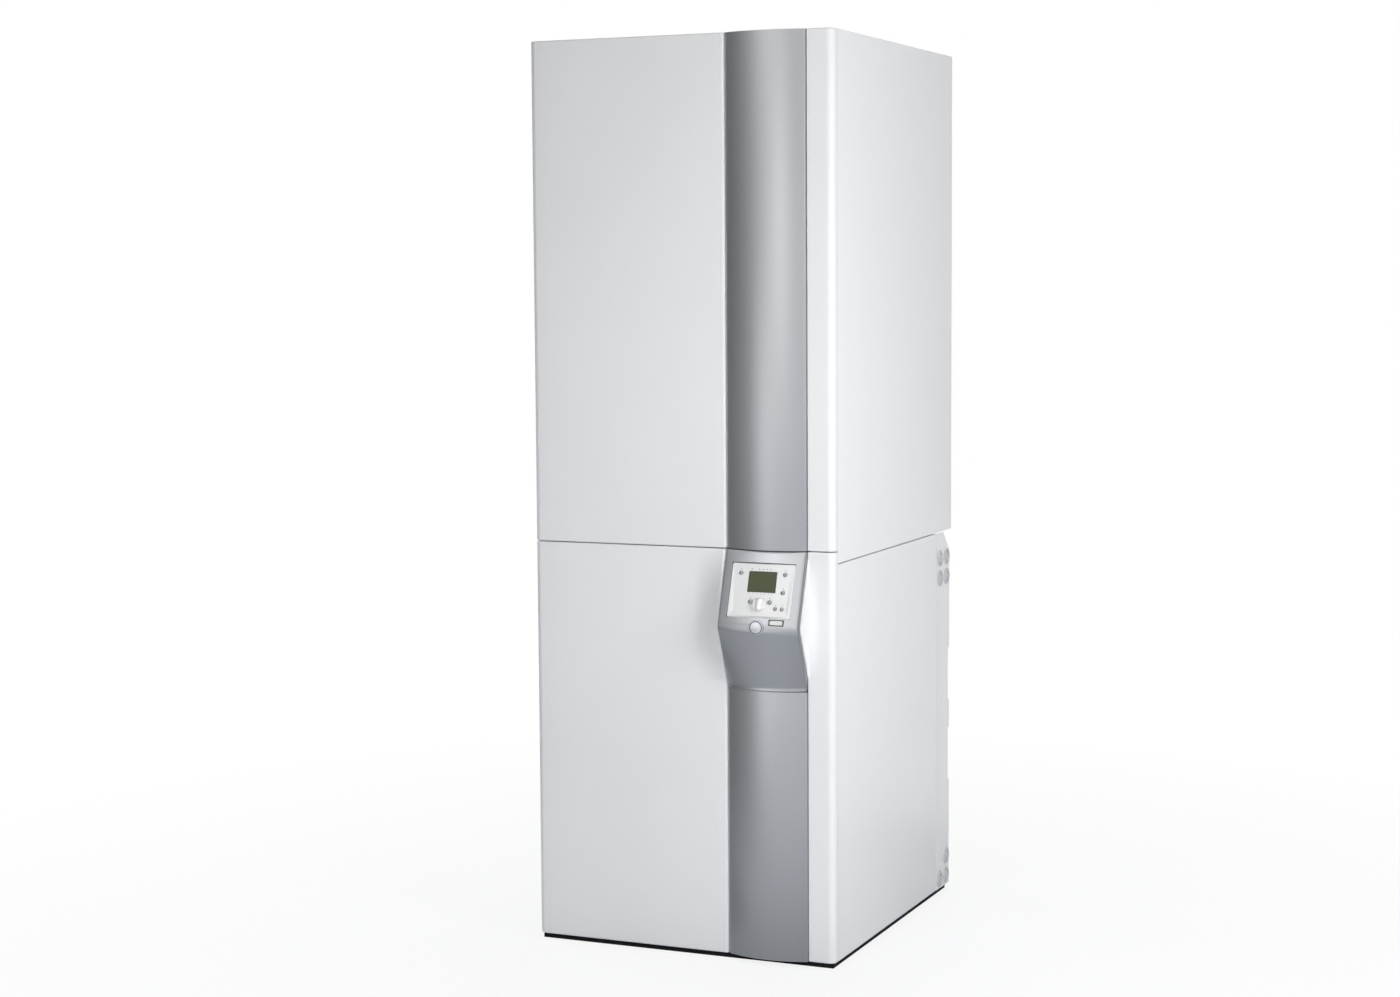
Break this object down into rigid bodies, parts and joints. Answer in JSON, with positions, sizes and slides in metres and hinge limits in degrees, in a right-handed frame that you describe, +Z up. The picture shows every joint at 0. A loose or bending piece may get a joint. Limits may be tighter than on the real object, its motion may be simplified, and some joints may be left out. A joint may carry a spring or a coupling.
{
  "type": "ground source heat pump",
  "caption": "Tall floor-standing heat pump cabinet with a bowed silver column, a slanted control console, a tank above and the refrigerant circuit below.",
  "frame": {"origin": "on the floor, below the middle of the whole object's box", "axes": "+X to the right seen from the front, +Y towards the back, +Z up"},
  "size_m": [0.662, 0.8124, 1.85],
  "materials": {
    "white_panel": "satin powder coat",
    "silver_cover": "silver lacquer",
    "fascia_white": "moulded plastic",
    "key_grey": "moulded plastic",
    "display_dark": "clear window over a dark display",
    "board_green": "coated circuit board",
    "badge_pale": "blank disc",
    "black_plastic": "moulded plastic",
    "black_steel": "black paint",
    "black_enamel": "black enamel",
    "grommet_grey": "soft rubber",
    "mount_rubber": "rubber",
    "zinc_steel": "zinc plated",
    "stainless": "stainless steel",
    "copper": "bare copper",
    "brass": "bare brass",
    "pump_iron": "painted casting",
    "rotor_steel": "steel",
    "valve_grey": "moulded plastic",
    "gear_grey": "moulded plastic",
    "foam_grey": "expanded foam",
    "anode_metal": "cast light metal"
  },
  "bodies": {
    "casing": {"base_tray": "black_steel", "levelling_feet": "black_steel", "frame_posts": "zinc_steel", "module_deck": "zinc_steel", "right_side_upper": "white_panel", "right_side_lower": "white_panel", "left_side_upper": "white_panel", "left_side_lower": "white_panel", "top_cover": "white_panel", "rear_panel_upper": "white_panel", "rear_panel_lower": "zinc_steel", "casing_screws": "zinc_steel", "connection_stubs": "brass", "cable_glands": "black_plastic", "right_connection_strip": "white_panel", "left_connection_strip": "white_panel", "side_grommets": "grommet_grey", "compressor": "black_enamel", "compressor_mounts": "mount_rubber", "evaporator": "stainless", "condenser": "stainless", "exchanger_stands": "zinc_steel", "discharge_line": "copper", "suction_line": "copper", "filter_drier": "copper", "expansion_valve": "brass", "liquid_lines": "copper", "brine_pump_housing": "pump_iron", "heating_pump_housing": "pump_iron", "brine_pipes": "copper", "heating_pipes": "copper", "booster_heater": "stainless", "diverter_valve": "valve_grey", "water_tank": "stainless", "anode_rod": "anode_metal", "tank_insulation": "foam_grey", "tap_water_pipes": "copper", "control_box": "zinc_steel", "switchgear": "gear_grey"},
    "upper_front": {"upper_front_panel": "white_panel", "upper_column": "silver_cover"},
    "lower_front": {"lower_front_panel": "white_panel", "lower_column": "silver_cover", "console_housing": "silver_cover", "control_fascia": "fascia_white", "display_window": "display_dark", "control_board": "board_green", "badge_disc": "badge_pale", "switch_bezel": "black_plastic"},
    "power_rocker_body": {"power_rocker": "fascia_white"},
    "control_knob_body": {"control_knob": "fascia_white"},
    "button_hot_water_body": {"button_hot_water": "key_grey"},
    "button_mode_body": {"button_mode": "key_grey"},
    "button_info_body": {"button_info": "key_grey"},
    "button_back_body": {"button_back": "fascia_white"},
    "button_enter_body": {"button_enter": "fascia_white"},
    "button_manual_body": {"button_manual": "key_grey"},
    "button_test_body": {"button_test": "key_grey"},
    "brine_pump_rotor_body": {"brine_pump_rotor": "rotor_steel"},
    "heating_pump_rotor_body": {"heating_pump_rotor": "rotor_steel"}
  },
  "joints": [
    {"name": "upper_front_lift_off", "type": "slide", "parent": "casing", "child": "upper_front", "axis": [0, -1, 0], "range_m": [0, 0.35]},
    {"name": "lower_front_lift_off", "type": "slide", "parent": "casing", "child": "lower_front", "axis": [0, -1, 0], "range_m": [0, 0.35]},
    {"name": "knob_turn", "type": "hinge", "parent": "lower_front", "child": "control_knob_body", "pos_m": [0.1873, -0.38425, 0.73018], "axis": [0, -0.9466, 0.3223], "continuous": true},
    {"name": "rocker_tilt", "type": "hinge", "parent": "lower_front", "child": "power_rocker_body", "pos_m": [0.2267, -0.39514, 0.69681], "axis": [0, 0.3223, 0.9466], "range_deg": [0, 16]},
    {"name": "button_hot_water_press", "type": "slide", "parent": "lower_front", "child": "button_hot_water_body", "axis": [0, 0.9466, -0.3223], "range_m": [0, 0.0012], "stiffness_N_per_m": 800},
    {"name": "button_mode_press", "type": "slide", "parent": "lower_front", "child": "button_mode_body", "axis": [0, 0.9466, -0.3223], "range_m": [0, 0.0012], "stiffness_N_per_m": 800},
    {"name": "button_info_press", "type": "slide", "parent": "lower_front", "child": "button_info_body", "axis": [0, 0.9466, -0.3223], "range_m": [0, 0.0012], "stiffness_N_per_m": 800},
    {"name": "button_back_press", "type": "slide", "parent": "lower_front", "child": "button_back_body", "axis": [0, 0.9466, -0.3223], "range_m": [0, 0.0012], "stiffness_N_per_m": 800},
    {"name": "button_enter_press", "type": "slide", "parent": "lower_front", "child": "button_enter_body", "axis": [0, 0.9466, -0.3223], "range_m": [0, 0.0012], "stiffness_N_per_m": 800},
    {"name": "button_manual_press", "type": "slide", "parent": "lower_front", "child": "button_manual_body", "axis": [0, 0.9466, -0.3223], "range_m": [0, 0.0012], "stiffness_N_per_m": 800},
    {"name": "button_test_press", "type": "slide", "parent": "lower_front", "child": "button_test_body", "axis": [0, 0.9466, -0.3223], "range_m": [0, 0.0012], "stiffness_N_per_m": 800},
    {"name": "brine_pump_spin", "type": "hinge", "parent": "casing", "child": "brine_pump_rotor_body", "pos_m": [0.245, 0.24725, 0.25], "axis": [0, 1, 0], "continuous": true},
    {"name": "heating_pump_spin", "type": "hinge", "parent": "casing", "child": "heating_pump_rotor_body", "pos_m": [0.12, 0.24725, 0.25], "axis": [0, 1, 0], "continuous": true}
  ]
}
